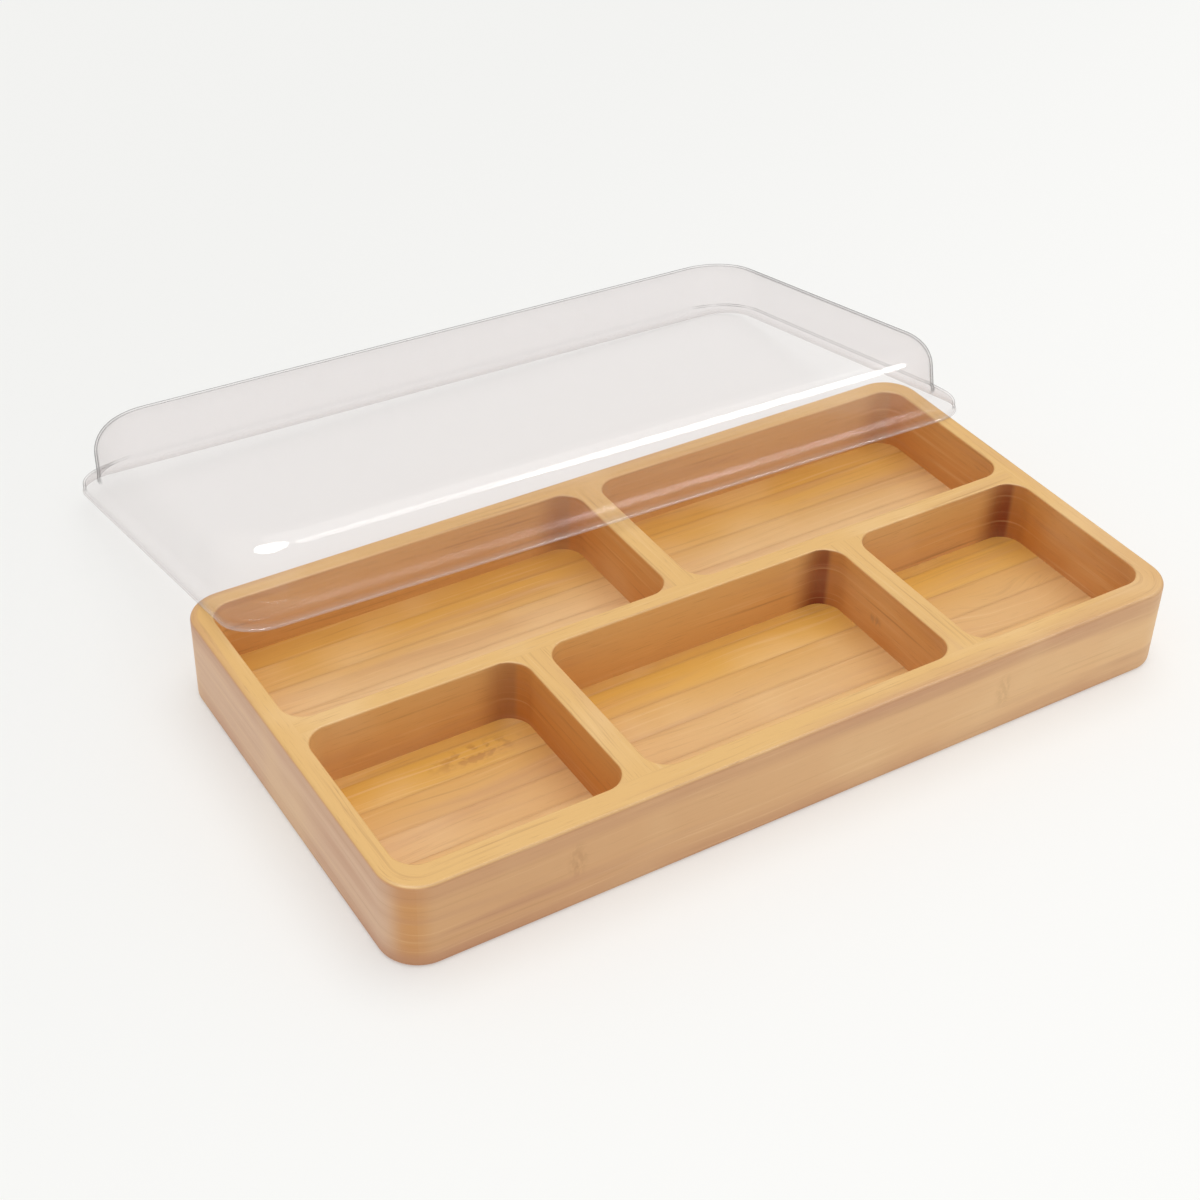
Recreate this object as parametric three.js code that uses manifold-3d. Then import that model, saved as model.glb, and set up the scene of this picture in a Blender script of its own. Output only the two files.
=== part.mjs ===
// A divided serving tray of glued bamboo with five pockets, and its clear lift-off lid, which leans across the back.
// Millimetres, Z up, X along the tray's length and Y towards its back.
// The origin is on the tray's underside, in the middle.

import * as THREE from "three";
import { mergeVertices } from "three/addons/utils/BufferGeometryUtils.js";
import Module from "manifold-3d";

const wasm = await Module();
wasm.setup();

// The tray as a whole
const trayLength = 400;
const trayDepth = 212;
const trayHeight = 43;
const trayCorner = 18; // radius of the four upright corners
const rimRound = 3; // round-over along the rim's outer edge
const footRound = 2.5; // round-over along the bottom edge

// The bars of the frame, seen from above
const frontRailWidth = 13;
const backRailWidth = 10;
const sideRailWidth = 9.5;
const longDividerWidth = 9;
const crossDividerWidth = 12;

// The pockets: the last one in each row takes what is left of its length
const frontPocketDepth = 91.5;
const frontLeftPocketLength = 103;
const frontMiddlePocketLength = 155.5;
const backLeftPocketLength = 188;
const pocketCorner = 11; // radius of the upright corners
const pocketEase = 1; // round-over along the mouth

// The base, edge-glued from strips and let into a rabbet under the rails
const baseThickness = 11.5;
const baseTongue = 5; // how far the base reaches under the rails
const baseClearance = 0.3; // around the base's edge, inside the rabbet
const baseStripCount = 11;

// The lid: its skirt drops over the rim, and its sloping shoulder sits on the rim's round-over when the tray is closed
const lidWall = 1;
const lidClearance = 1; // between the tray's side and the skirt
const lidHeight = 37.5; // from the lip to the top
const lidSkirtHeight = 4;
const lidShoulder = 4; // how far the wall stands in from the skirt
const lidShoulderRise = 6.5; // from the skirt's top to the wall's foot
const lidDomeCorner = 34; // radius of the wall's upright corners, rounder than the skirt's
const lidTopRound = 14;
const lidDraft = 1; // how far the wall leans in on its way up

// How the lid lies when it is taken off: pushed back and to the right, its back lip down on the table
const lidPushedRight = 10; // middle of the lid, from the tray's middle
const lidLipFromFront = 163; // middle of the front lip, from the tray's front face
const restGap = 0.3; // between the lid and what it rests on

// How finely the round stretches are cut, and how far a cutter runs past what it cuts
const cornerSteps = 8;
const roundSteps = 3;
const profileSteps = 4;
const cutOverrun = 1;
const settleRounds = 8;

// Places that follow from the sizes
const pocketLeft = sideRailWidth - trayLength / 2;
const pocketRight = trayLength / 2 - sideRailWidth;
const pocketFront = frontRailWidth - trayDepth / 2;
const pocketBack = trayDepth / 2 - backRailWidth;
const longDividerFront = pocketFront + frontPocketDepth;
const longDividerBack = longDividerFront + longDividerWidth;
const frontLeftDivider = pocketLeft + frontLeftPocketLength;
const frontRightDivider = frontLeftDivider + crossDividerWidth + frontMiddlePocketLength;
const backDivider = pocketLeft + backLeftPocketLength;

// Finishes
const barFinish = new THREE.MeshStandardMaterial({ color: 0xd9ae78, roughness: 0.5, metalness: 0 });
const baseFinish = new THREE.MeshStandardMaterial({ color: 0xd4a468, roughness: 0.5, metalness: 0 });
const lidFinish = new THREE.MeshStandardMaterial({
  color: 0xe6e8ea,
  roughness: 0.08,
  metalness: 0,
  transparent: true,
  opacity: 0.3,
});

// A rectangle seen from above, by its four sides
function area(left, right, front, back) {
  return { left, right, front, back };
}

// The same rectangle, drawn in by an inset on every side
function inset(sides, by) {
  return area(sides.left + by, sides.right - by, sides.front + by, sides.back - by);
}

// One closed ring of points round a rectangle with round corners, anticlockwise from above
function ring(sides, corner, z) {
  const radius = Math.max(corner, 0);
  const centres = [
    [sides.right - radius, sides.back - radius],
    [sides.left + radius, sides.back - radius],
    [sides.left + radius, sides.front + radius],
    [sides.right - radius, sides.front + radius],
  ];
  const points = [];
  centres.forEach(([x, y], quarter) => {
    for (let step = 0; step <= cornerSteps; step++) {
      const angle = ((quarter + step / cornerSteps) * Math.PI) / 2;
      points.push(new THREE.Vector3(x + radius * Math.cos(angle), y + radius * Math.sin(angle), z));
    }
  });
  return points;
}

// A closed skin over a stack of rings: the first and last rings are closed flat
function loft(rings) {
  const count = rings[0].length;
  const middle = (points) => points.reduce((sum, p) => sum.add(p), new THREE.Vector3()).divideScalar(points.length);
  const points = [middle(rings[0]), ...rings.flat(), middle(rings.at(-1))];
  const last = points.length - 1;
  const faces = [];
  for (let i = 0; i < count; i++) {
    const next = (i + 1) % count;
    faces.push(0, 1 + next, 1 + i);
    for (let level = 0; level < rings.length - 1; level++) {
      const low = 1 + level * count;
      const high = low + count;
      faces.push(low + i, low + next, high + next, low + i, high + next, high + i);
    }
    faces.push(last, last - count + i, last - count + next);
  }
  const geometry = new THREE.BufferGeometry().setFromPoints(points);
  geometry.setIndex(faces);
  return geometry;
}

// The steps of a quarter round, as shares of its radius: how far out and how far up
function quarterShares() {
  return Array.from({ length: roundSteps + 1 }, (_, step) => {
    const angle = ((step / roundSteps) * Math.PI) / 2;
    return { outShare: 1 - Math.cos(angle), upShare: Math.sin(angle) };
  });
}

function solid(geometry) {
  geometry.deleteAttribute("normal");
  geometry.deleteAttribute("uv");
  const merged = mergeVertices(geometry);
  return new wasm.Manifold(
    new wasm.Mesh({
      numProp: 3,
      vertProperties: new Float32Array(merged.attributes.position.array),
      triVerts: new Uint32Array(merged.index.array),
    }),
  );
}

// A box whose corners lie exactly on the given places, so that it meets its neighbours' faces without a sliver
function block(sides, low, high) {
  const geometry = new THREE.BoxGeometry();
  const corners = geometry.attributes.position;
  for (let i = 0; i < corners.count; i++) {
    corners.setXYZ(
      i,
      corners.getX(i) < 0 ? sides.left : sides.right,
      corners.getY(i) < 0 ? sides.front : sides.back,
      corners.getZ(i) < 0 ? low : high,
    );
  }
  return solid(geometry);
}

function piece(name, body, finish) {
  const mesh = body.getMesh();
  const geometry = new THREE.BufferGeometry();
  geometry.setAttribute("position", new THREE.BufferAttribute(new Float32Array(mesh.vertProperties), 3));
  geometry.setIndex(Array.from(mesh.triVerts));
  geometry.computeVertexNormals();
  const node = new THREE.Mesh(geometry, finish);
  node.name = name;
  return node;
}

// The tray's outer form, with the rim's and the bottom edge's round-overs
function trayForm() {
  const outside = area(-trayLength / 2, trayLength / 2, -trayDepth / 2, trayDepth / 2);
  const level = (by, z) => ring(inset(outside, by), trayCorner - by, z);
  const foot = quarterShares().map(({ outShare, upShare }) =>
    level(footRound * (1 - upShare), footRound * outShare),
  );
  const rim = quarterShares().map(({ outShare, upShare }) =>
    level(rimRound * outShare, trayHeight - rimRound + rimRound * upShare),
  );
  return solid(loft([...foot, ...rim]));
}

// What is routed away for one pocket, down to the base, with the eased edge of its mouth
function pocketCutter(sides) {
  const level = (out, z) => ring(inset(sides, -out), pocketCorner + out, z);
  const mouth = quarterShares().map(({ outShare, upShare }) =>
    level(pocketEase * outShare, trayHeight - pocketEase + pocketEase * upShare),
  );
  return solid(loft([level(0, baseThickness - cutOverrun), ...mouth, level(pocketEase, trayHeight + cutOverrun)]));
}

function pockets() {
  const frontRow = (left, right) => area(left, right, pocketFront, longDividerFront);
  const backRow = (left, right) => area(left, right, longDividerBack, pocketBack);
  return [
    frontRow(pocketLeft, frontLeftDivider),
    frontRow(frontLeftDivider + crossDividerWidth, frontRightDivider),
    frontRow(frontRightDivider + crossDividerWidth, pocketRight),
    backRow(pocketLeft, backDivider),
    backRow(backDivider + crossDividerWidth, pocketRight),
  ];
}

// The base's outline, let in under the rails, and what is cut out of the rails for it
function baseForm(clearance, low, high) {
  const sides = inset(area(pocketLeft, pocketRight, pocketFront, pocketBack), clearance - baseTongue);
  const corner = pocketCorner + baseTongue - clearance;
  return solid(loft([ring(sides, corner, low), ring(sides, corner, high)]));
}

// The strips run along the tray, side by side over the base's depth
function baseStrips() {
  const base = baseForm(baseClearance, 0, baseThickness);
  const front = pocketFront - baseTongue;
  const stripWidth = (pocketBack - pocketFront + 2 * baseTongue) / baseStripCount;
  return Array.from({ length: baseStripCount }, (_, i) => {
    const strip = area(-trayLength / 2, trayLength / 2, front + i * stripWidth, front + (i + 1) * stripWidth);
    const name = `base_strip_${String(i + 1).padStart(2, "0")}`;
    return piece(name, base.intersect(block(strip, -cutOverrun, trayHeight)), baseFinish);
  });
}

// The glued frame with its pockets routed, before it is parted into its bars
function routedFrame() {
  const recess = baseForm(0, -cutOverrun, baseThickness);
  return pockets().reduce((body, sides) => body.subtract(pocketCutter(sides)), trayForm().subtract(recess));
}

// One bar of the frame: the part of it that lies in the given rectangles
function bar(frame, name, rectangles) {
  const blank = rectangles
    .map((sides) => block(sides, -cutOverrun, trayHeight + cutOverrun))
    .reduce((whole, next) => whole.add(next));
  return piece(name, frame.intersect(blank), barFinish);
}

// The bars along the tray are plain. The side rails and cross dividers carry the pockets' rounded corners.
function frameBars() {
  const frame = routedFrame();
  const along = (front, back) => [area(pocketLeft, pocketRight, front, back)];
  const across = (left, front, back) => [
    area(left - pocketCorner, left + crossDividerWidth + pocketCorner, front, back),
  ];
  const side = (outer, inner, flared) => [
    area(Math.min(outer, inner), Math.max(outer, inner), -trayDepth / 2, trayDepth / 2),
    area(Math.min(inner, flared), Math.max(inner, flared), pocketFront, longDividerFront),
    area(Math.min(inner, flared), Math.max(inner, flared), longDividerBack, pocketBack),
  ];
  return [
    bar(frame, "front_rail", along(-trayDepth / 2, pocketFront)),
    bar(frame, "back_rail", along(pocketBack, trayDepth / 2)),
    bar(frame, "left_side_rail", side(-trayLength / 2, pocketLeft, pocketLeft + pocketCorner)),
    bar(frame, "right_side_rail", side(trayLength / 2, pocketRight, pocketRight - pocketCorner)),
    bar(frame, "long_divider", along(longDividerFront, longDividerBack)),
    bar(frame, "front_left_cross_divider", across(frontLeftDivider, pocketFront, longDividerFront)),
    bar(frame, "front_right_cross_divider", across(frontRightDivider, pocketFront, longDividerFront)),
    bar(frame, "back_cross_divider", across(backDivider, longDividerBack, pocketBack)),
  ];
}

// The lid's size over its skirt, from the tray's
const lidReach = lidClearance + lidWall;
const lidLength = trayLength + 2 * lidReach;
const lidDepth = trayDepth + 2 * lidReach;
const lidCorner = trayCorner + lidReach;

// The lid's outer face from the lip up to the flat top: inset from the skirt, and height. The shoulder is two equal
// arcs that curve in from the skirt and up again into the wall.
function lidProfile() {
  const wallFoot = lidSkirtHeight + lidShoulderRise;
  const bend = 2 * Math.atan2(lidShoulder, lidShoulderRise);
  const shoulderRound = lidShoulderRise / (2 * Math.sin(bend));
  const lean = Math.atan2(lidDraft, lidHeight - lidTopRound - wallFoot);
  const topCentre = lidShoulder + lidDraft + lidTopRound * Math.cos(lean);
  return new THREE.Path()
    .moveTo(0, 0)
    .lineTo(0, lidSkirtHeight)
    .absarc(shoulderRound, lidSkirtHeight, shoulderRound, Math.PI, Math.PI - bend, true)
    .absarc(lidShoulder - shoulderRound, wallFoot, shoulderRound, -bend, -lean, false)
    .absarc(topCentre, lidHeight - lidTopRound, lidTopRound, Math.PI - lean, Math.PI / 2, true)
    .getPoints(profileSteps);
}

// The same face one wall thickness further in, point by point along the normal
function innerProfile(outer) {
  return outer.map((point, i) => {
    const before = outer[Math.max(i - 1, 0)];
    const after = outer[Math.min(i + 1, outer.length - 1)];
    const run = after.clone().sub(before).normalize();
    return new THREE.Vector2(point.x + lidWall * run.y, point.y - lidWall * run.x);
  });
}

// The lid as a shell in its own frame: the lip lies in the plane z = 0, with the lid's middle over the origin. Over
// the shoulder its corners change from the skirt's radius to the dome's.
function lidShell() {
  const skirt = area(-lidLength / 2, lidLength / 2, -lidDepth / 2, lidDepth / 2);
  const outer = lidProfile();
  const corners = outer.map(({ x }) => {
    const share = Math.min(x / lidShoulder, 1);
    return lidCorner + share * (lidDomeCorner + lidShoulder - lidCorner);
  });
  const level = ({ x, y }, i) => ring(inset(skirt, x), Math.max(corners[i] - x, lidWall / 2), y);
  return solid(loft([...innerProfile(outer).map(level).reverse(), ...outer.map(level)]));
}

// The lid at rest touches in three places: its left lip on the back rail's rim, its front lip on the right rail's
// rim, and the corner of its back lip on the table. Each place depends a little on the tilt, so they are worked
// out again from the tilt that they give until it settles.
function settledLid() {
  const front = new THREE.Vector3(lidPushedRight, lidLipFromFront - trayDepth / 2, 0);
  const flatRight = trayLength / 2 - rimRound;
  const cornerX = trayCorner - trayLength / 2;
  const cornerY = trayDepth / 2 - trayCorner;
  const flatCorner = trayCorner - rimRound;
  const tilt = { along: new THREE.Vector3(1, 0, 0), back: new THREE.Vector3(0, 1, 0), up: new THREE.Vector3(0, 0, 1) };
  const plane = new THREE.Plane();
  for (let round = 0; round < settleRounds; round++) {
    const onLid = (u, v) => front.clone().addScaledVector(tilt.along, u).addScaledVector(tilt.back, v);
    const leftLip = onLid(lidWall - lidLength / 2, (cornerY + flatCorner - front.y) / tilt.back.y);
    const onCorner = Math.sqrt(Math.max(flatCorner ** 2 - Math.min(leftLip.x - cornerX, 0) ** 2, 0));
    const onBackRail = new THREE.Vector3(leftLip.x, cornerY + onCorner, trayHeight);
    const onRightRail = new THREE.Vector3(flatRight, onLid(flatRight - front.x, lidWall).y, trayHeight);
    const downhill = Math.hypot(tilt.along.z, tilt.back.z) || 1;
    const onTable = onLid(
      lidLength / 2 - lidCorner - (lidCorner * tilt.along.z) / downhill,
      lidDepth - lidCorner - (lidCorner * tilt.back.z) / downhill,
    ).setZ(0);
    plane.setFromCoplanarPoints(onBackRail, onRightRail, onTable);
    tilt.up.copy(plane.normal).multiplyScalar(Math.sign(plane.normal.z));
    tilt.along.set(tilt.up.z, 0, -tilt.up.x).normalize();
    tilt.back.crossVectors(tilt.up, tilt.along);
  }
  const middle = front.clone().addScaledVector(tilt.back, lidDepth / 2);
  middle.z = 0;
  middle.z = -plane.distanceToPoint(middle) / plane.normal.z + restGap;
  return { middle, turn: new THREE.Matrix4().makeBasis(tilt.along, tilt.back, tilt.up) };
}

const tray = new THREE.Group();
tray.add(...baseStrips(), ...frameBars());

const lid = new THREE.Group();
const rest = settledLid();
lid.position.copy(rest.middle);
lid.quaternion.setFromRotationMatrix(rest.turn);
lid.add(piece("clear_lid", lidShell(), lidFinish));

const dividedTray = new THREE.Group();
dividedTray.add(tray, lid);

export default dividedTray;
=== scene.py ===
"""A divided bamboo serving tray with its clear lid leaning across the back.

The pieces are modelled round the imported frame, which gives their places and sizes.
"""

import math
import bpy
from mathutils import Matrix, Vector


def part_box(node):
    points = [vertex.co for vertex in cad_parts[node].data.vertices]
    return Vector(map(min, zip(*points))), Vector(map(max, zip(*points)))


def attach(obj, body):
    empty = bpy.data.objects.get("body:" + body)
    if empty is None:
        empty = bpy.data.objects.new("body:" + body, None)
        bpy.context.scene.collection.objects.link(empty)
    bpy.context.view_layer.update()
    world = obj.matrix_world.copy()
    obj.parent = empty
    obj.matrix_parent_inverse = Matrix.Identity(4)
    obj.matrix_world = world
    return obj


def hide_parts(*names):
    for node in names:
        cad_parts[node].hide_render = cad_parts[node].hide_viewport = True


bl_info = {
    "name": "Divided Bamboo Tray",
    "version": (1, 0, 0),
    "blender": (4, 5, 0),
    "location": "3D View > Sidebar > Tray",
    "description": "Models a divided bamboo tray, its clear lid and a studio round a packed frame",
    "category": "Add Mesh",
}

from contextlib import contextmanager

import bmesh
import bpy
from bpy.props import FloatProperty, FloatVectorProperty, IntProperty, PointerProperty
from mathutils import Matrix, Vector

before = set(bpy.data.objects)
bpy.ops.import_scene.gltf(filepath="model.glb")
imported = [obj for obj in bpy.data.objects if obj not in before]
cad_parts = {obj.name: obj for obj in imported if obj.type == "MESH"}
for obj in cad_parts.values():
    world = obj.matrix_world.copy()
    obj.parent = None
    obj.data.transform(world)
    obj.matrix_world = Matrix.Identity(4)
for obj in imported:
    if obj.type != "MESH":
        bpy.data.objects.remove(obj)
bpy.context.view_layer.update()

TRAY, LID = "tray", "lid"
HAIR = 1e-5
"""Metres: how near two places have to be to count as one when edges and faces are picked."""
OVERRUN = 0.002
"""Metres: how far a cutting tool reaches past the piece that it cuts."""
EASE_FACETS, BEAD_FACETS, BEND_FACETS = 2, 3, 5
"""Facets over an eased edge, an edge of the lid's bead and a bend of its shoulder."""


def shade(red, green, blue):
    """A colour as a screen shows it, from 0 to 255, as the linear values that shaders take."""

    def linear(value):
        share = value / 255
        return share / 12.92 if share <= 0.04045 else ((share + 0.055) / 1.055) ** 2.4

    return linear(red), linear(green), linear(blue)


def colour(name, description, default):
    return FloatVectorProperty(
        name=name, description=description, default=default, subtype="COLOR", min=0, max=1
    )


def length(name, description, default):
    return FloatProperty(
        name=name, description=description, default=default, min=0, unit="LENGTH", precision=4
    )


def angle(name, description, default):
    return FloatProperty(name=name, description=description, default=default, subtype="ANGLE")


def number(name, description, default):
    return FloatProperty(name=name, description=description, default=default, min=0)


def facets(name, description, default):
    return IntProperty(name=name, description=description, default=default, min=1)


class TraySizes(bpy.types.PropertyGroup):
    """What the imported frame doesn't say about the wooden tray."""

    corner: length("Corner", "Radius of the tray's upright outer corners", 0.018)
    rim_round: length("Rim round", "Round-over along the rim's outer edge", 0.002)
    foot_round: length("Foot round", "Round-over along the bottom edge", 0.002)
    pocket_corner: length("Pocket corner", "Radius of the pockets' upright corners", 0.011)
    mouth_ease: length("Mouth ease", "Round-over along each pocket's mouth", 0.001)
    base_gap: length("Base gap", "Room round the base inside its rabbet", 0.0003)
    base_corner: length("Base corner", "Radius of the base panel's corners", 0.0157)
    strip_ease: length("Strip ease", "Easing along the upper edges of each base strip", 0.00012)
    corner_segments: facets("Corner segments", "Facets round an upright corner", 16)
    edge_segments: facets("Edge segments", "Facets over a rounded edge", 5)


class LidSizes(bpy.types.PropertyGroup):
    """The clear lid's moulded section."""

    wall: length("Wall", "Thickness of the moulded shell", 0.001)
    skirt: length("Skirt", "Height of the upright skirt that drops over the rim", 0.004)
    shoulder: length("Shoulder", "How far the wall stands in from the skirt", 0.004)
    shoulder_rise: length("Shoulder rise", "From the skirt's top to the wall's foot", 0.0065)
    skirt_corner: length("Skirt corner", "Radius of the skirt's upright corners", 0.020)
    dome_corner: length("Dome corner", "Radius of the wall's upright corners", 0.034)
    top_round: length("Top round", "Radius along the edge of the flat top", 0.014)
    draft: length("Draft", "How far the wall leans in on its way up", 0.001)
    bead: length("Bead", "How far the bead along the lip stands out", 0.0006)
    bead_height: length("Bead height", "Height of the bead's outer face", 0.0008)
    lip_ease: length("Lip ease", "Easing of the bead's edges", 0.00025)
    top_segments: facets("Top segments", "Facets over the edge of the top", 12)


class BambooLook(bpy.types.PropertyGroup):
    """Colours and grain of the oiled bamboo, and the painted shade and light laid over them."""

    rim: colour("Rim", "The flat top of the frame", shade(225, 180, 111))
    outer: colour("Outer wall", "The outer faces towards the left", shade(217, 169, 120))
    # Painted light: the outer faces are painted lighter towards the right end.
    outer_right_lit: colour("Outer right", "The outer faces towards the right", shade(232, 187, 135))
    # Painted light: the left end's outer face is painted paler and pinker for the light and sheen it
    # catches.
    side: colour("Left wall", "The outer face at the left end", shade(220, 182, 150))
    pocket: colour("Pocket wall", "The upright walls of the pockets", shade(228, 181, 114))
    # Painted shade: this colour darkens the pockets' left-facing right walls, every wall's foot, the
    # outside's front-left corner and the front-left pocket's floor.
    painted_shade: colour("Deep wall", "The pockets' right walls and every wall's foot", shade(206, 136, 58))
    # Painted shade for each pocket's far corner; the base's speckles also use this colour.
    corner: colour("Pocket corner", "The shaded far corner of each pocket", shade(130, 52, 10))
    # Painted shade: the darker golden floor near each back wall, where that wall's shadow falls.
    gold_shade: colour("Gold", "The base towards the back of each pocket", shade(220, 167, 68))
    floor: colour("Floor", "The base towards the front of each pocket", shade(231, 188, 124))
    # Also painted shade: this colour darkens the outer walls towards their foot.
    band_and_shade: colour("Band", "The browner bands of the lamination", shade(192, 140, 108))
    # Also painted shade: this colour draws the shadow line along the outer walls' foot and darkens
    # the rim's round-over.
    line: colour("Line", "The fine dark fibres and seams", shade(158, 106, 62))
    # Also painted light: this colour lifts the wood that lies under the lid's shadow.
    pale: colour("Pale", "The palest fibres", shade(242, 206, 154))
    broad: number("Broad bands", "Bands in a metre across the grain", 70)
    fine: number("Fine fibres", "Fibres in a metre across the grain", 420)
    run: number("Run", "Changes in a metre along the grain", 5)


class PlasticLook(bpy.types.PropertyGroup):
    """Colours of the clear plastic."""

    face: colour("Face", "What a wall seen square on lets through", shade(255, 254, 254))
    edge: colour("Edge", "What a wall seen on edge lets through", shade(60, 58, 60))
    haze: colour("Haze", "The faint milkiness of the moulding", shade(230, 225, 223))


class StageLook(bpy.types.PropertyGroup):
    """The camera's place and the table."""

    turn: angle("Turn", "View to the left of square on", 0.56676)
    tilt: angle("Tilt", "View down from level", 0.64771)
    roll: angle("Roll", "Roll of the camera", 0.029497)
    distance: length("Distance", "From the camera to the point it looks at", 1.01212)
    aim: FloatVectorProperty(
        name="Aim",
        description="The point that the camera looks at",
        default=(-0.005593, 0.063414, 0),
        subtype="TRANSLATION",
    )
    lens: number("Lens", "Focal length in millimetres on a 36 mm frame", 63.24)
    ground: colour("Ground", "The pale table near the camera", shade(251, 251, 249))
    # Painted shade: the table is painted a little darker far from the camera.
    far_ground_shade: colour("Far ground", "The table far from the camera", shade(242, 242, 240))


def choose(*pieces):
    """Selects only these pieces and makes the first one active."""
    bpy.ops.object.select_all(action="DESELECT")
    for piece in pieces:
        piece.select_set(True)
    bpy.context.view_layer.objects.active = pieces[0]


@contextmanager
def shaping(piece, mode="EDGE"):
    """Edit mode on one piece, with nothing selected."""
    choose(piece)
    bpy.ops.object.mode_set(mode="EDIT")
    bpy.ops.mesh.select_mode(type=mode)
    bpy.ops.mesh.select_all(action="DESELECT")
    yield
    bpy.ops.object.mode_set(mode="OBJECT")


def pick(piece, kind, test):
    """Selects only the faces or edges that pass a test."""
    bpy.ops.mesh.select_all(action="DESELECT")
    mesh = bmesh.from_edit_mesh(piece.data)
    found = [element for element in getattr(mesh, kind) if test(element)]
    for element in found:
        element.select_set(True)
    bmesh.update_edit_mesh(piece.data)
    if not found:
        raise RuntimeError(f"{piece.name} has none of the {kind} that were looked for")


def upright(edge):
    """True for an edge that runs straight up."""
    run = edge.verts[1].co - edge.verts[0].co
    return abs(run.z) > HAIR and run.xy.length < HAIR


def at_height(*heights):
    """A test for edges that lie level at one of the given heights."""
    return lambda edge: any(
        all(abs(vertex.co.z - height) < HAIR for vertex in edge.verts) for height in heights
    )


def level(face):
    """True for a face that lies nearly level, whether it faces up or down."""
    return abs(face.normal.z) > 0.5


def round_edges(piece, test, radius, segments):
    """Rounds the edges that pass a test."""
    pick(piece, "edges", test)
    bpy.ops.mesh.bevel(offset=radius, segments=segments, clamp_overlap=False)


def add(name, primitive, **settings):
    """Adds a primitive on its own and names it."""
    bpy.ops.object.select_all(action="DESELECT")
    primitive(**settings)
    piece = bpy.context.object
    piece.name = name
    piece.data.name = name
    return piece


def settle():
    """Moves the place, turn and size of what is selected into its mesh."""
    bpy.ops.object.transform_apply(location=True, rotation=True, scale=True)


def block(name, least, most):
    """A box between two corners, its place already in its mesh."""
    least, most = Vector(least), Vector(most)
    middle = (least + most) / 2
    piece = add(name, bpy.ops.mesh.primitive_cube_add, size=1, location=middle, scale=most - least)
    settle()
    return piece


def rounded_block(name, least, most, radius, segments):
    """A box with round upright corners."""
    piece = block(name, least, most)
    with shaping(piece):
        round_edges(piece, upright, radius, segments)
    return piece


def apply(piece, kind, **settings):
    """Adds a modifier and applies it."""
    choose(piece)
    modifier = piece.modifiers.new(kind.title(), kind)
    for name, value in settings.items():
        setattr(modifier, name, value)
    bpy.ops.object.modifier_apply(modifier=modifier.name)


def cut(piece, tool, operation="DIFFERENCE"):
    """Cuts a piece with a tool, and throws the tool away."""
    apply(piece, "BOOLEAN", operation=operation, solver="EXACT", object=tool)
    bpy.data.objects.remove(tool)


def copy_of(piece, name):
    """A copy with its own mesh."""
    made = piece.copy()
    made.data = piece.data.copy()
    made.name = name
    made.data.name = name
    bpy.context.scene.collection.objects.link(made)
    return made


def smooth(piece, crease=math.radians(32)):
    """Shades the rounded edges smooth and keeps the flat faces flat."""
    choose(piece)
    bpy.ops.object.shade_smooth_by_angle(angle=crease)
    apply(piece, "WEIGHTED_NORMAL", keep_sharp=True, weight=100)


def dress(piece, body, node, finish):
    """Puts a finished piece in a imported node's place."""
    piece.data.materials.clear()
    piece.data.materials.append(finish)
    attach(piece, body)
    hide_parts(node)


def low(node):
    """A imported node's lowest corner."""
    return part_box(node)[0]


def high(node):
    """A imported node's highest corner."""
    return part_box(node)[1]


TRAY_LOW = Vector((low("left_side_rail").x, low("front_rail").y, low("front_rail").z))
TRAY_HIGH = Vector((high("right_side_rail").x, high("back_rail").y, high("front_rail").z))
FIELD_LOW = Vector((low("front_rail").x, high("front_rail").y, high("base_strip_06").z))
FIELD_HIGH = Vector((high("front_rail").x, low("back_rail").y, TRAY_HIGH.z))
"""The corners of the whole tray, and of the field over the base and between the rails."""
DIVIDER_FRONT = low("long_divider").y
DIVIDER_BACK = high("long_divider").y
CROSS_DIVIDERS = ("front_left_cross_divider", "front_right_cross_divider", "back_cross_divider")
BASE_STRIPS = sorted(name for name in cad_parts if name.startswith("base_strip_"))


def pocket_bounds(pocket_corner):
    """The pockets as (left, right, front, back), read off the dividers' places."""
    front_left, front_right, back = (
        (low(node).x + pocket_corner, high(node).x - pocket_corner) for node in CROSS_DIVIDERS
    )
    front_row = (
        (FIELD_LOW.x, front_left[0]),
        (front_left[1], front_right[0]),
        (front_right[1], FIELD_HIGH.x),
    )
    back_row = ((FIELD_LOW.x, back[0]), (back[1], FIELD_HIGH.x))
    return [(*sides, FIELD_LOW.y, DIVIDER_FRONT) for sides in front_row] + [
        (*sides, DIVIDER_BACK, FIELD_HIGH.y) for sides in back_row
    ]


def mouth_edge(edge):
    """True for an edge between the flat rim and an upright pocket wall."""
    return at_height(TRAY_HIGH.z)(edge) and not all(level(face) for face in edge.link_faces)


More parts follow.
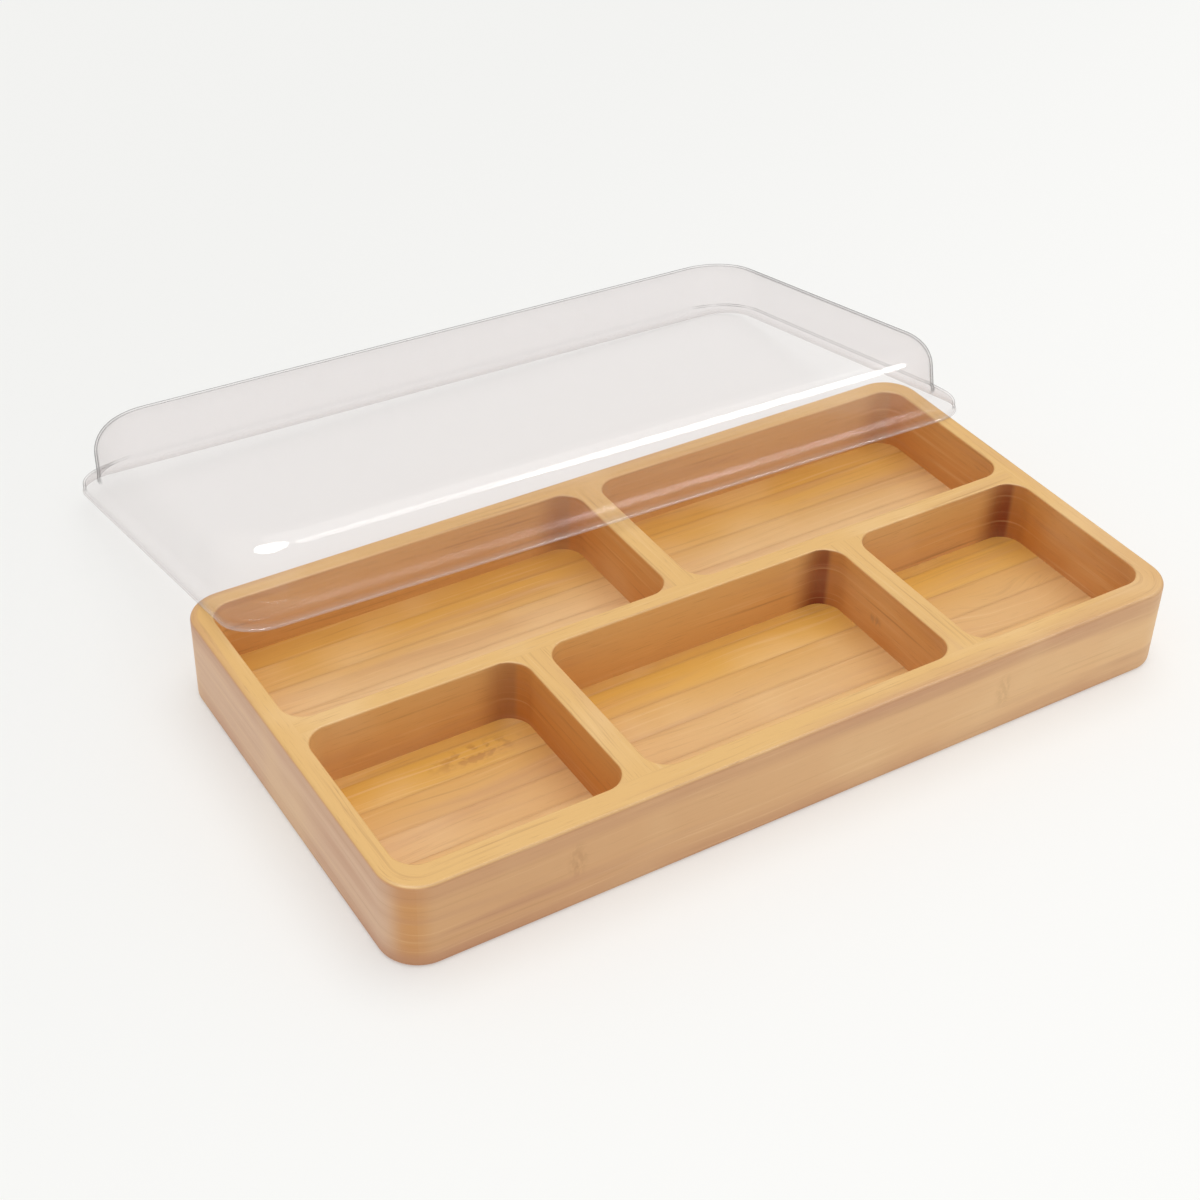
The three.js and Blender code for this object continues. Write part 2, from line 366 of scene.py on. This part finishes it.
def routed_frame(sizes):
    """The whole glued frame: a rounded slab with the base's recess and the pockets routed out."""
    round_corner, round_edge = sizes.corner_segments, sizes.edge_segments
    slab = rounded_block("routed_frame", TRAY_LOW, TRAY_HIGH, sizes.corner, round_corner)
    with shaping(slab):
        round_edges(slab, at_height(TRAY_HIGH.z), sizes.rim_round, round_edge)
        round_edges(slab, at_height(TRAY_LOW.z), sizes.foot_round, round_edge)
    room = Vector((sizes.base_gap, sizes.base_gap, 0))
    recess_low = low(BASE_STRIPS[0]) - room - Vector((0, 0, OVERRUN))
    recess_high = high(BASE_STRIPS[-1]) + room
    recess_corner = sizes.base_corner + sizes.base_gap
    cut(slab, rounded_block("recess", recess_low, recess_high, recess_corner, round_corner))
    for left, right, front, back in pocket_bounds(sizes.pocket_corner):
        tool_low = (left, front, FIELD_LOW.z - OVERRUN)
        tool_high = (right, back, TRAY_HIGH.z + OVERRUN)
        cut(slab, rounded_block("pocket", tool_low, tool_high, sizes.pocket_corner, round_corner))
    with shaping(slab):
        round_edges(slab, mouth_edge, sizes.mouth_ease, round_edge)
    return slab


def bar(whole, node, reach_low, reach_high, leave=()):
    """One bar: what the whole frame has between two corners, less the places that others fill."""
    piece = copy_of(whole, f"bamboo_{node}")
    reach_low = Vector((*reach_low, TRAY_LOW.z - OVERRUN))
    reach_high = Vector((*reach_high, TRAY_HIGH.z + OVERRUN))
    cut(piece, block("reach", reach_low, reach_high), "INTERSECT")
    for (left, front), (right, back) in leave:
        cut(piece, block("room", (left, front, reach_low.z), (right, back, reach_high.z)))
    return piece


def parted(whole):
    """The bars that the whole frame is glued from, each under its node's name."""
    left, right = TRAY_LOW.x - OVERRUN, TRAY_HIGH.x + OVERRUN
    front, back = TRAY_LOW.y - OVERRUN, TRAY_HIGH.y + OVERRUN
    between_sides = {
        "front_rail": ((FIELD_LOW.x, front), (FIELD_HIGH.x, FIELD_LOW.y)),
        "long_divider": ((FIELD_LOW.x, DIVIDER_FRONT), (FIELD_HIGH.x, DIVIDER_BACK)),
        "back_rail": ((FIELD_LOW.x, FIELD_HIGH.y), (FIELD_HIGH.x, back)),
    }
    sides = {
        "left_side_rail": ((left, front), (high("left_side_rail").x, back)),
        "right_side_rail": ((low("right_side_rail").x, front), (right, back)),
    }
    bars = {node: bar(whole, node, *reach) for node, reach in between_sides.items()}
    for node, reach in sides.items():
        bars[node] = bar(whole, node, *reach, leave=between_sides.values())
    for node in CROSS_DIVIDERS:
        bars[node] = bar(whole, node, low(node).xy, high(node).xy)
    return bars


def grain_run(node):
    """Which way the grain runs on a bar's top."""
    if node.endswith("rail"):
        return "rails"
    return "lengthwise" if node == "long_divider" else "crosswise"


class TRAY_OT_frame(bpy.types.Operator):
    """Model the routed frame and part it into its rails and dividers"""

    bl_idname = "tray.frame"
    bl_label = "Frame"

    def execute(self, context):
        look, sizes = context.scene.bamboo_look, context.scene.tray_sizes
        bamboo = {run: bamboo_bar(look, sizes, run) for run in ("rails", "lengthwise", "crosswise")}
        whole = routed_frame(sizes)
        bars = parted(whole)
        bpy.data.objects.remove(whole)
        for node, piece in bars.items():
            smooth(piece)
            dress(piece, TRAY, node, bamboo[grain_run(node)])
        return {"FINISHED"}


def upright_at(y):
    """A test for edges that run straight up at one place in the tray's depth."""
    return lambda edge: upright(edge) and abs(edge.verts[0].co.y - y) < HAIR


class TRAY_OT_base(bpy.types.Operator):
    """Model the edge-glued strips of the base"""

    bl_idname = "tray.base"
    bl_label = "Base"

    def execute(self, context):
        sizes = context.scene.tray_sizes
        bamboo = bamboo_base(context.scene.bamboo_look)
        first, last = BASE_STRIPS[0], BASE_STRIPS[-1]
        outer_edges = {first: upright_at(low(first).y), last: upright_at(high(last).y)}
        for node in BASE_STRIPS:
            strip = block(f"bamboo_{node}", *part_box(node))
            with shaping(strip):
                if node in outer_edges:
                    round_edges(strip, outer_edges[node], sizes.base_corner, sizes.corner_segments)
                round_edges(strip, at_height(high(node).z), sizes.strip_ease, EASE_FACETS)
            smooth(strip)
            dress(strip, TRAY, node, bamboo)
        return {"FINISHED"}


def lid_place():
    """The lid's own frame, with its lip in the plane z = 0, and its size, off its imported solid."""
    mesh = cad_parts["clear_lid"].data
    areas = {}
    for face in mesh.polygons:
        key = tuple(round(value, 3) for value in face.normal)
        total, summed = areas.get(key, (0, Vector()))
        areas[key] = (total + face.area, summed + face.normal * face.area)
    up = max(areas.values(), key=lambda entry: entry[0] if entry[1].z > 0 else 0)[1].normalized()
    along = Vector((up.z, 0, -up.x)).normalized()
    axes = Matrix((along, up.cross(along), up))
    points = [axes @ vertex.co for vertex in mesh.vertices]
    least = Vector(min(point[i] for point in points) for i in range(3))
    most = Vector(max(point[i] for point in points) for i in range(3))
    middle = (least + most) / 2
    middle.z = least.z
    turn = axes.transposed()
    return Matrix.Translation(turn @ middle) @ turn.to_4x4(), most - least


def rounded_ring(name, half_x, half_y, corner, height, segments):
    """A flat rectangle with round corners, as one face."""
    piece = add(name, bpy.ops.mesh.primitive_plane_add, size=2, location=(0, 0, height))
    piece.scale = (half_x, half_y, 1)
    settle()
    with shaping(piece, "VERT"):
        bpy.ops.mesh.select_all(action="SELECT")
        bpy.ops.mesh.bevel(
            offset=corner, segments=segments, affect="VERTICES", clamp_overlap=False
        )
    return piece


def raise_faces(rise):
    """Extrudes the faces that are selected straight up."""
    bpy.ops.mesh.extrude_region_move(TRANSFORM_OT_translate={"value": (0, 0, rise)})


def tube(name, half_x, half_y, corner, bottom, top, segments):
    """An open upright tube over a rectangle with round corners."""
    piece = rounded_ring(name, half_x, half_y, corner, bottom, segments)
    with shaping(piece, "FACE"):
        bpy.ops.mesh.select_all(action="SELECT")
        raise_faces(top - bottom)
        pick(piece, "faces", level)
        bpy.ops.mesh.delete(type="ONLY_FACE")
    return piece


def lip_edge(edge):
    """True for an edge round the flat face under the lid's lip."""
    return at_height(0)(edge) and not all(level(face) for face in edge.link_faces)


class TRAY_OT_lid(bpy.types.Operator):
    """Model the clear lid as one moulded shell with a bead along its lip"""

    bl_idname = "tray.lid"
    bl_label = "Lid"

    def execute(self, context):
        sizes = context.scene.lid_sizes
        segments = context.scene.tray_sizes.corner_segments
        place, size = lid_place()
        half_x, half_y, top = size.x / 2, size.y / 2, size.z
        skirt_x, skirt_y = half_x - sizes.bead, half_y - sizes.bead
        wall_x, wall_y = half_x - sizes.shoulder, half_y - sizes.shoulder
        bead_top = sizes.bead_height + sizes.bead
        middle = sizes.skirt + sizes.shoulder_rise / 2
        bend = sizes.shoulder_rise / 4
        eave, foot = middle - bend, middle + bend
        corner = sizes.skirt_corner
        lid = tube("clear_shell", half_x, half_y, corner, 0, sizes.bead_height, segments)
        skirt = tube("skirt", skirt_x, skirt_y, corner - sizes.bead, bead_top, eave, segments)
        dome = rounded_ring("dome", wall_x, wall_y, sizes.dome_corner, foot, segments)
        choose(lid, skirt, dome)
        bpy.ops.object.join()
        with shaping(lid):
            for lower, upper in ((sizes.bead_height, bead_top), (eave, foot)):
                pick(lid, "edges", at_height(lower, upper))
                bpy.ops.mesh.bridge_edge_loops()
            pick(
                lid,
                "faces",
                lambda face: level(face) and face.calc_center_median().z > foot - HAIR,
            )
            raise_faces(top - foot)
            bpy.ops.transform.resize(value=(1 - sizes.draft / wall_x, 1 - sizes.draft / wall_y, 1))
            round_edges(lid, at_height(top), sizes.top_round, sizes.top_segments)
            round_edges(lid, at_height(eave, foot), bend, BEND_FACETS)
            beading = at_height(sizes.bead_height, bead_top)
            round_edges(lid, beading, sizes.lip_ease, BEAD_FACETS)
        apply(lid, "SOLIDIFY", thickness=sizes.wall, offset=-1, use_even_offset=True)
        with shaping(lid):
            round_edges(lid, lip_edge, sizes.lip_ease, EASE_FACETS)
            bpy.ops.mesh.select_all(action="SELECT")
            bpy.ops.mesh.normals_make_consistent()
        smooth(lid, math.radians(40))
        lid.matrix_world = place
        settle()
        plastic = clear_plastic(context.scene.plastic_look, place, bead_top)
        dress(lid, LID, "clear_lid", plastic)
        return {"FINISHED"}


class Wire:
    """A value on its way through a material. Its sums, products and size add Math nodes."""

    def __init__(self, finish, socket):
        self.finish = finish
        self.socket = socket

    def __add__(self, other):
        return self.finish.maths("ADD", self, other)

    def __sub__(self, other):
        return self.finish.maths("SUBTRACT", self, other)

    def __mul__(self, other):
        return self.finish.maths("MULTIPLY", self, other)

    def __radd__(self, other):
        return self.finish.maths("ADD", other, self)

    def __rsub__(self, other):
        return self.finish.maths("SUBTRACT", other, self)

    def __rmul__(self, other):
        return self.finish.maths("MULTIPLY", other, self)

    def __abs__(self):
        return self.finish.maths("ABSOLUTE", self)


MIX_SHARE, MIX_FIRST, MIX_SECOND, MIX_RESULT = 0, 6, 7, 2
"""Where a Mix node, among the sockets for its other types, has those that colours go through."""


class Finish:
    """A material or a world being wired up."""

    def __init__(self, owner, last="ShaderNodeOutputMaterial"):
        owner.use_nodes = True
        self.owner = owner
        self.last = last
        self.tree = owner.node_tree
        self.tree.nodes.clear()

    def node(self, kind, settings=None, inputs=None, output=0):
        """Adds a node: its settings first, then the values and links of its inputs."""
        made = self.tree.nodes.new(kind)
        for name, value in (settings or {}).items():
            setattr(made, name, value)
        for name, value in (inputs or {}).items():
            if isinstance(value, Wire):
                self.tree.links.new(value.socket, made.inputs[name])
            else:
                made.inputs[name].default_value = value
        return Wire(self, made.outputs[output]) if made.outputs else None

    def maths(self, operation, *values):
        return self.node("ShaderNodeMath", {"operation": operation}, dict(enumerate(values)))

    def vector_maths(self, operation, *vectors, output="Vector"):
        settings = {"operation": operation}
        return self.node("ShaderNodeVectorMath", settings, dict(enumerate(vectors)), output)

    def vector(self, x, y, z):
        return self.node("ShaderNodeCombineXYZ", inputs={0: x, 1: y, 2: z})

    def parts(self, where):
        """The three parts of a vector."""
        split = self.node("ShaderNodeSeparateXYZ", inputs={0: where}).socket.node
        return [Wire(self, split.outputs[axis]) for axis in range(3)]

    def place(self):
        """A point's place in metres."""
        return self.node("ShaderNodeTexCoord", output="Object")

    def facing(self):
        """The surface's true normal."""
        return self.node("ShaderNodeNewGeometry", output="Normal")

    def rays(self, kind):
        return self.node("ShaderNodeLightPath", output=kind)

    def spot(self, where, centre, reach):
        """1 near a centre, and 0 from an ellipsoid of the given reach on."""
        off = self.vector_maths("SUBTRACT", where, centre)
        off = self.vector_maths("DIVIDE", off, reach)
        return self.step(self.vector_maths("LENGTH", off, output="Value"), 1, 0.25)

    def noise(self, where, detail=2, roughness=0.5):
        """Smooth noise from 0 to 1 with features one unit apart in where."""
        values = {"Vector": where, "Scale": 1.0, "Detail": detail, "Roughness": roughness}
        return self.node("ShaderNodeTexNoise", inputs=values)

    def step(self, value, start, end):
        """0 before start, 1 past end and a smooth change between."""
        settings = {"interpolation_type": "SMOOTHSTEP"}
        inputs = {"Value": value, "From Min": min(start, end), "From Max": max(start, end)}
        inputs |= {"To Min": float(end < start), "To Max": float(end >= start)}
        return self.node("ShaderNodeMapRange", settings, inputs)

    def mix(self, first, second, share):
        """A colour between two colours."""
        first, second = (c if isinstance(c, Wire) else (*c, 1) for c in (first, second))
        inputs = {MIX_SHARE: share, MIX_FIRST: first, MIX_SECOND: second}
        return self.node("ShaderNodeMix", {"data_type": "RGBA"}, inputs, MIX_RESULT)

    def shader(self, kind, tint, **values):
        """A plain shader in one colour."""
        tint = tint if isinstance(tint, Wire) else (*tint, 1)
        return self.node(kind, inputs={"Color": tint, **values})

    def blend(self, share, first, second):
        """A shader between two shaders."""
        return self.node("ShaderNodeMixShader", inputs={0: share, 1: first, 2: second})

    def finish(self, shader):
        self.node(self.last, inputs={"Surface": shader})
        return self.owner


def material(name):
    return Finish(bpy.data.materials.new(name))


MARKS = (
    ((-0.120, -0.106, 0.0254), (0.006, 0.01, 0.012), 0.22),
    ((0.0985, -0.106, 0.0221), (0.006, 0.01, 0.012), 0.22),
    ((0.080, -0.0375, 0.0228), (0.01, 0.006, 0.0036), 0.8),
)
"""Nodes on the front wall and a knot on a pocket's wall, each by centre, reach and strength."""
CORNER_SHADE = (0.6, 1.0, 0.95, 0.5, 0.3)
# How dark the painted shade in each pocket's far corner is, front row first.
"""How dark each pocket's far corner is, front row first."""
CORNER_REACH = (0.024, 0.016, 0.08)
"""How far that shade reaches along, across and up."""
SPECKLED = ((-0.117, -0.0155, 0.0115), (0.03, 0.009, 0.01))
ARCHED = ((0.155, -0.05, 0.0115), (0.045, 0.02, 0.01))
"""Centre and reach of the places where the base has speckles, and where its grain arches."""
STRIP_SHIFT = 0.37
"""How far each base strip's grain is moved on from the last one's, so that no two are alike."""


def inside_outline(f, x, y, corner):
    """How far in a point lies from the tray's outline, whose corners are round."""
    middle, half = (TRAY_LOW + TRAY_HIGH) / 2, (TRAY_HIGH - TRAY_LOW) / 2
    past_x = abs(x - middle.x) - (half.x - corner)
    past_y = abs(y - middle.y) - (half.y - corner)
    over_x, over_y = f.maths("MAXIMUM", past_x, 0), f.maths("MAXIMUM", past_y, 0)
    over = f.maths("SQRT", over_x * over_x + over_y * over_y)
    return corner - over - f.maths("MINIMUM", f.maths("MAXIMUM", past_x, past_y), 0)


def oiled(f, look, ground, x, y, across, bands, wave, crisp=1.0):
    """Bamboo's grain over a ground colour, and the shader that shows it with its oiled sheen."""

    def grain(across, stretch, spacing, detail, roughness=0.5):
        """Noise drawn out along the grain."""
        run = look.run * stretch
        return f.noise(f.vector(x * run, y * run, across * spacing), detail, roughness)

    bend = grain(across, stretch=2, spacing=12, detail=1)
    across = across + (bend - 0.5) * wave
    broad = grain(across, stretch=1, spacing=look.broad, detail=2, roughness=0.6)
    streak = grain(across, stretch=2, spacing=look.fine, detail=3, roughness=0.6)
    fibre = grain(across, stretch=14, spacing=look.fine * 4, detail=2, roughness=0.7)
    cloud = f.noise(f.vector(x * 14, y * 14, across * 14))
    tone = f.mix(ground, look.band_and_shade, bands * f.step(broad, 0.48, 0.72))
    tone = f.mix(tone, look.pale, 0.3 * f.step(cloud, 0.48, 0.7))
    tone = f.mix(tone, look.line, crisp * 0.4 * f.step(streak, 0.55, 0.8))
    tone = f.mix(tone, look.pale, 0.35 * f.step(streak, 0.46, 0.24))
    tone = f.mix(tone, look.line, crisp * 0.25 * f.step(fibre, 0.56, 0.78))
    relief = {"Strength": 0.2, "Distance": 0.0003, "Height": fibre + streak}
    sheen = {"Roughness": 0.42 + 0.2 * streak, "Specular IOR Level": 0.3}
    sheen |= {"Base Color": tone, "Normal": f.node("ShaderNodeBump", inputs=relief)}
    return f.finish(f.node("ShaderNodeBsdfPrincipled", inputs=sheen))


def bamboo_bar(look, sizes, run):
    """A bar's bamboo: the grain runs along the bar, or round the tray on the rails' tops, under
    painted shade and light.
    """
    f = material(f"bamboo_{run}")
    where = f.place()
    x, y, z = f.parts(where)
    nx, ny, nz = f.parts(f.facing())
    inward = inside_outline(f, x, y, sizes.corner)
    top = f.step(nz, 0.55, 0.75)
    outside = f.step(inward, 0.004, 0.0025)

    # Painted shade: the pocket walls darken towards their foot and where they face left, away from
    # the key light.
    to_left, to_front = f.step(nx, -0.6, -0.8), f.step(ny, -0.6, -0.8)
    deeper_shade = f.step(z, TRAY_HIGH.z, FIELD_LOW.z)
    # Painted light: the back right pocket's walls, under the lid, are lifted towards the pale colour
    # against its shadow.
    back_right_light = f.step(x, -0.06, 0.06) * f.step(y, DIVIDER_BACK, DIVIDER_BACK + 0.01)
    walls = f.mix(look.pocket, look.painted_shade, 0.3 * deeper_shade + 0.7 * to_left)
    walls = f.mix(walls, look.pale, 0.15 * back_right_light)
    # Painted shade: each pocket's far corner is darkened, most on the back wall that faces the
    # front.
    for (_, right, _, back), depth in zip(pocket_bounds(sizes.pocket_corner), CORNER_SHADE):
        corner = f.spot(where, (right, back, FIELD_LOW.z), CORNER_REACH)
        walls = f.mix(walls, look.corner, depth * corner * (0.35 + 0.65 * to_front))

    # Painted shade on the rounded front-left corner of the outer wall.
    front_left_corner_shade = f.step(nx, -0.05, -0.6) * f.step(nx, -1, -0.7)
    # Painted shade: the outer walls grow darker and browner towards their foot; a browner band also
    # runs under the rim.
    foot_shade, high_band = f.step(z, 0.014, 0.002), f.step(z, 0.032, 0.037)
    # Painted light: the outer walls turn lighter towards the right end.
    skin = f.mix(look.outer, look.outer_right_lit, f.step(x, -0.16, 0.16))
    # Painted light: the face at the left end is painted paler for the light and sheen it catches.
    skin = f.mix(skin, look.side, f.step(nx, -0.6, -1))
    skin = f.mix(skin, look.painted_shade, 0.5 * front_left_corner_shade)
    skin = f.mix(skin, look.band_and_shade, 0.5 * foot_shade + 0.3 * high_band)
    # Painted shadow: a thin dark line along the bottom edge of the outer walls.
    skin = f.mix(skin, look.line, 0.35 * f.step(z, 0.003, 0.001))

    # Painted shade: the rim's outer round-over is darkened to tone down its highlight.
    rim_edge_shade = outside * f.step(nx, -0.35, -0.1) * f.step(nz, 0.2, 0.5) * f.step(nz, 0.99, 0.9)
    ground = f.mix(f.mix(walls, skin, outside), look.rim, top)
    ground = f.mix(ground, look.line, 0.3 * rim_edge_shade)
    across = {"rails": inward, "lengthwise": y, "crosswise": x}[run] * top + (TRAY_HIGH.z - z)
    patchy = f.noise(f.vector(x * 500, y * 500, z * 260), detail=1)
    for centre, reach, strength in MARKS:
        mark = f.spot(where, centre, reach) * f.step(patchy, 0.3, 0.6)
        across = across + 0.002 * mark
        ground = f.mix(ground, look.line, strength * mark)
    bands = 0.35 + 0.15 * outside
    crisp = 1.3 - 0.8 * outside * (1 - top)
    return oiled(f, look, ground, x, y, across, bands, 0.004, crisp)


def bamboo_base(look):
    """The base's bamboo: each strip's grain runs along the tray, and each has its own tone, with
    painted shade near the walls and painted light under the lid.
    """
    f = material("bamboo_base")
    where = f.place()
    x, y, _ = f.parts(where)
    first, last = low(BASE_STRIPS[0]).y, high(BASE_STRIPS[-1]).y
    strips = (y - first) * (len(BASE_STRIPS) / (last - first))
    strip = f.maths("FLOOR", strips)
    seam = abs(strips - strip - 0.5) * 2
    strip_tone = f.node("ShaderNodeTexWhiteNoise", {"noise_dimensions": "1D"}, {"W": strip})

    back_row = f.step(y, DIVIDER_FRONT, DIVIDER_BACK)
    front_left = f.step(x, -0.075, -0.095) * f.step(y, DIVIDER_BACK, DIVIDER_FRONT)
    # Painted shade: the floor turns darker and golden near each back wall.
    behind_shade = f.step(y, DIVIDER_FRONT - 0.055, DIVIDER_FRONT - 0.005)
    behind_shade = behind_shade * f.step(y, DIVIDER_BACK, DIVIDER_BACK - 0.001)
    behind_shade = behind_shade + f.step(y, FIELD_HIGH.y - 0.06, FIELD_HIGH.y - 0.01)
    # Painted light: the back row's floors, under the lid, are painted paler against its shadow.
    ground = f.mix(look.floor, look.pale, 0.55 * back_row)
    # Painted shade: the front-left pocket's floor is a touch darker.
    ground = f.mix(ground, look.painted_shade, 0.08 * front_left)
    ground = f.mix(ground, look.gold_shade, behind_shade)
    ground = f.mix(ground, look.band_and_shade, 0.2 * strip_tone)
    ground = f.mix(ground, look.line, 0.2 * f.step(seam, 0.8, 1))

    specks = f.step(f.noise(f.vector(x * 170, y * 240, 0)), 0.45, 0.6)
    ground = f.mix(ground, look.corner, 0.35 * f.spot(where, *SPECKLED) * specks)
    across = y + strip * STRIP_SHIFT + 0.006 * f.spot(where, *ARCHED)
    return oiled(f, look, ground, x, y * 0, across, 0.35, 0.012)


LIP_FADE = (0.0045, 0.0005)
"""Heights over the lip between which the plastic turns to the hazier and brighter lip."""
SHOULDER_FADE = (0.015, 0.011)
"""Heights over the lip between which the wall's gloss turns to the shoulder's duller one."""


def clear_plastic(look, place, bead_height):
    """Clear moulded plastic: light goes straight through, less so on edge and in the bead."""
    f = material("clear_plastic")
    edgewise = f.node("ShaderNodeLayerWeight", inputs={"Blend": 0.5}, output="Facing")
    up = place.col[2].xyz
    height = f.vector_maths("DOT_PRODUCT", f.place(), up, output="Value")
    height = height - up.dot(place.translation)
    bead = f.step(height, bead_height + 0.0004, bead_height)
    lip, shoulder = f.step(height, *LIP_FADE), f.step(height, *SHOULDER_FADE)
    face = f.shader("ShaderNodeBsdfTransparent", look.face)
    edge = f.shader("ShaderNodeBsdfTransparent", look.edge)
    haze = f.shader("ShaderNodeBsdfDiffuse", look.haze)
    gloss = f.shader("ShaderNodeBsdfGlossy", (1, 1, 1), Roughness=0.05)
    on_edge = 0.05 * edgewise + 0.55 * f.step(edgewise, 0.74, 0.97) + 0.02 * bead
    body = f.blend(0.06 + 0.12 * lip, f.blend(on_edge, face, edge), haze)
    glossy = 0.012 + 0.12 * f.maths("POWER", edgewise, 4)
    glossy = glossy * (1 - 0.8 * shoulder + 0.3 * lip)
    return f.finish(f.blend(glossy, body, gloss))


KEY_LIGHT = ((0.21, 0.12, 1.0), math.radians(50), 1.0)
"""The broad light's direction, its spread and its strength."""
REFLECTED_LIGHTS = {
    "strip": ((0.46, -0.27, 0.85), (1.5, 0.6), 14),
    "right_strip": ((0.58, -0.3, 0.79), (0.8, 0.7), 22),
    "corner": ((-0.36, -0.2, 0.88), (1.6, 1.1), 90),
}
"""The direction, size in metres and watts of each panel that the lid reflects."""
LAMP_DISTANCE, FLOOR_SIZE = 2, 8
"""Metres: from the middle of the floor to each lamp, and along each side of the floor."""
STUDIO_LEVEL = 0.7
"""How bright the world is to all but the camera and reflections."""
EVEN_FLOOR = 0.34
"""The share of the floor's white that no shadow takes away."""


class TRAY_OT_stage(bpy.types.Operator):
    """Set up the pale floor, the soft light and the camera"""

    bl_idname = "tray.stage"
    bl_label = "Stage"

    def execute(self, context):
        look = context.scene.stage_look
        self.floor(look)
        self.light(context.scene)
        self.camera(context.scene, look)
        context.scene.view_settings.view_transform = "Standard"
        return {"FINISHED"}

    def floor(self, look):
        """The table: pale to the camera and painted a little darker far from it, with the tray's
        soft shadow on it.
        """
        ground = add("floor", bpy.ops.mesh.primitive_plane_add, size=FLOOR_SIZE)
        f = material("pale_floor")
        x, y, _ = f.parts(f.place())
        # Painted shade: the table turns a little darker away from the camera.
        tone = f.mix(look.ground, look.far_ground_shade, f.step(y - 0.5 * x, -0.35, 0.6))
        lit = f.shader("ShaderNodeBsdfDiffuse", tone)
        even = f.shader("ShaderNodeEmission", tone)
        ground.data.materials.append(f.finish(f.blend(EVEN_FLOOR, lit, even)))

    def light(self, scene):
        """An even white studio with one broad light, and panels that show only in the lid."""
        world = bpy.data.worlds.new("studio")
        scene.world = world
        self.surround(world)
        self.sun("key", *KEY_LIGHT)
        for name, panel in REFLECTED_LIGHTS.items():
            self.gleam(name, *panel)

    def surround(self, world):
        """White to the camera and in reflections, and a plain level of light for all else."""
        f = Finish(world, "ShaderNodeOutputWorld")
        seen = f.maths("MAXIMUM", f.rays("Is Camera Ray"), f.rays("Is Glossy Ray"))
        white = f.shader("ShaderNodeBackground", (1, 1, 1))
        level = f.shader("ShaderNodeBackground", (1, 1, 1), Strength=STUDIO_LEVEL)
        f.finish(f.blend(seen, level, white))

    def sun(self, name, towards, spread, strength):
        """A broad soft light from one side."""
        data = bpy.data.lights.new(name, "SUN")
        data.angle = spread
        data.energy = strength
        self.lamp(data, towards)

    def gleam(self, name, towards, size, power):
        """An oval panel that only shows as a reflection in glossy faces."""
        data = bpy.data.lights.new(name, "AREA")
        data.shape = "ELLIPSE"
        data.size, data.size_y = size
        data.energy = power
        lamp = self.lamp(data, towards)
        lamp.visible_camera = False
        lamp.visible_diffuse = False

    def lamp(self, data, towards):
        """Puts a light off to one side, facing the tray, its width along the tray's length."""
        away = Vector(towards).normalized()
        side = Vector((away.z, 0, -away.x)).normalized()
        lamp = bpy.data.objects.new(data.name, data)
        turn = Matrix((side, away.cross(side), away)).transposed().to_4x4()
        lamp.matrix_world = Matrix.Translation(away * LAMP_DISTANCE) @ turn
        bpy.context.scene.collection.objects.link(lamp)
        return lamp

    def camera(self, scene, look):
        """The photograph's view of the tray."""
        level, drop = math.cos(look.tilt), math.sin(look.tilt)
        ahead = Vector((math.sin(look.turn) * level, math.cos(look.turn) * level, -drop))
        right = Vector((math.cos(look.turn), -math.sin(look.turn), 0))
        up = right.cross(ahead)
        rolled_right = right * math.cos(look.roll) + up * math.sin(look.roll)
        rolled_up = up * math.cos(look.roll) - right * math.sin(look.roll)
        data = bpy.data.cameras.new("camera")
        data.lens = look.lens
        data.clip_start = 0.01
        camera = bpy.data.objects.new("camera", data)
        turn = Matrix((rolled_right, rolled_up, -ahead)).transposed().to_4x4()
        camera.matrix_world = Matrix.Translation(Vector(look.aim) - ahead * look.distance) @ turn
        scene.collection.objects.link(camera)
        scene.camera = camera


OPERATORS = (TRAY_OT_stage, TRAY_OT_frame, TRAY_OT_base, TRAY_OT_lid)
GROUPS = {
    "tray_sizes": TraySizes,
    "lid_sizes": LidSizes,
    "bamboo_look": BambooLook,
    "plastic_look": PlasticLook,
    "stage_look": StageLook,
}


class TRAY_PT_panel(bpy.types.Panel):
    """The sizes and looks of the tray, and its pieces in the order in which they are made"""

    bl_idname = "TRAY_PT_panel"
    bl_label = "Divided Bamboo Tray"
    bl_space_type = "VIEW_3D"
    bl_region_type = "UI"
    bl_category = "Tray"

    def draw(self, context):
        for operator in OPERATORS:
            self.layout.operator(operator.bl_idname)
        for name, group in GROUPS.items():
            for setting in group.__annotations__:
                self.layout.prop(getattr(context.scene, name), setting)


def register():
    for kind in (*GROUPS.values(), *OPERATORS, TRAY_PT_panel):
        bpy.utils.register_class(kind)
    for name, group in GROUPS.items():
        setattr(bpy.types.Scene, name, PointerProperty(type=group))


def unregister():
    for name in GROUPS:
        delattr(bpy.types.Scene, name)
    for kind in reversed((*GROUPS.values(), *OPERATORS, TRAY_PT_panel)):
        bpy.utils.unregister_class(kind)


def main():
    register()
    for operator in OPERATORS:
        space, name = operator.bl_idname.split(".")
        getattr(getattr(bpy.ops, space), name)()


if __name__ == "__main__":
    main()
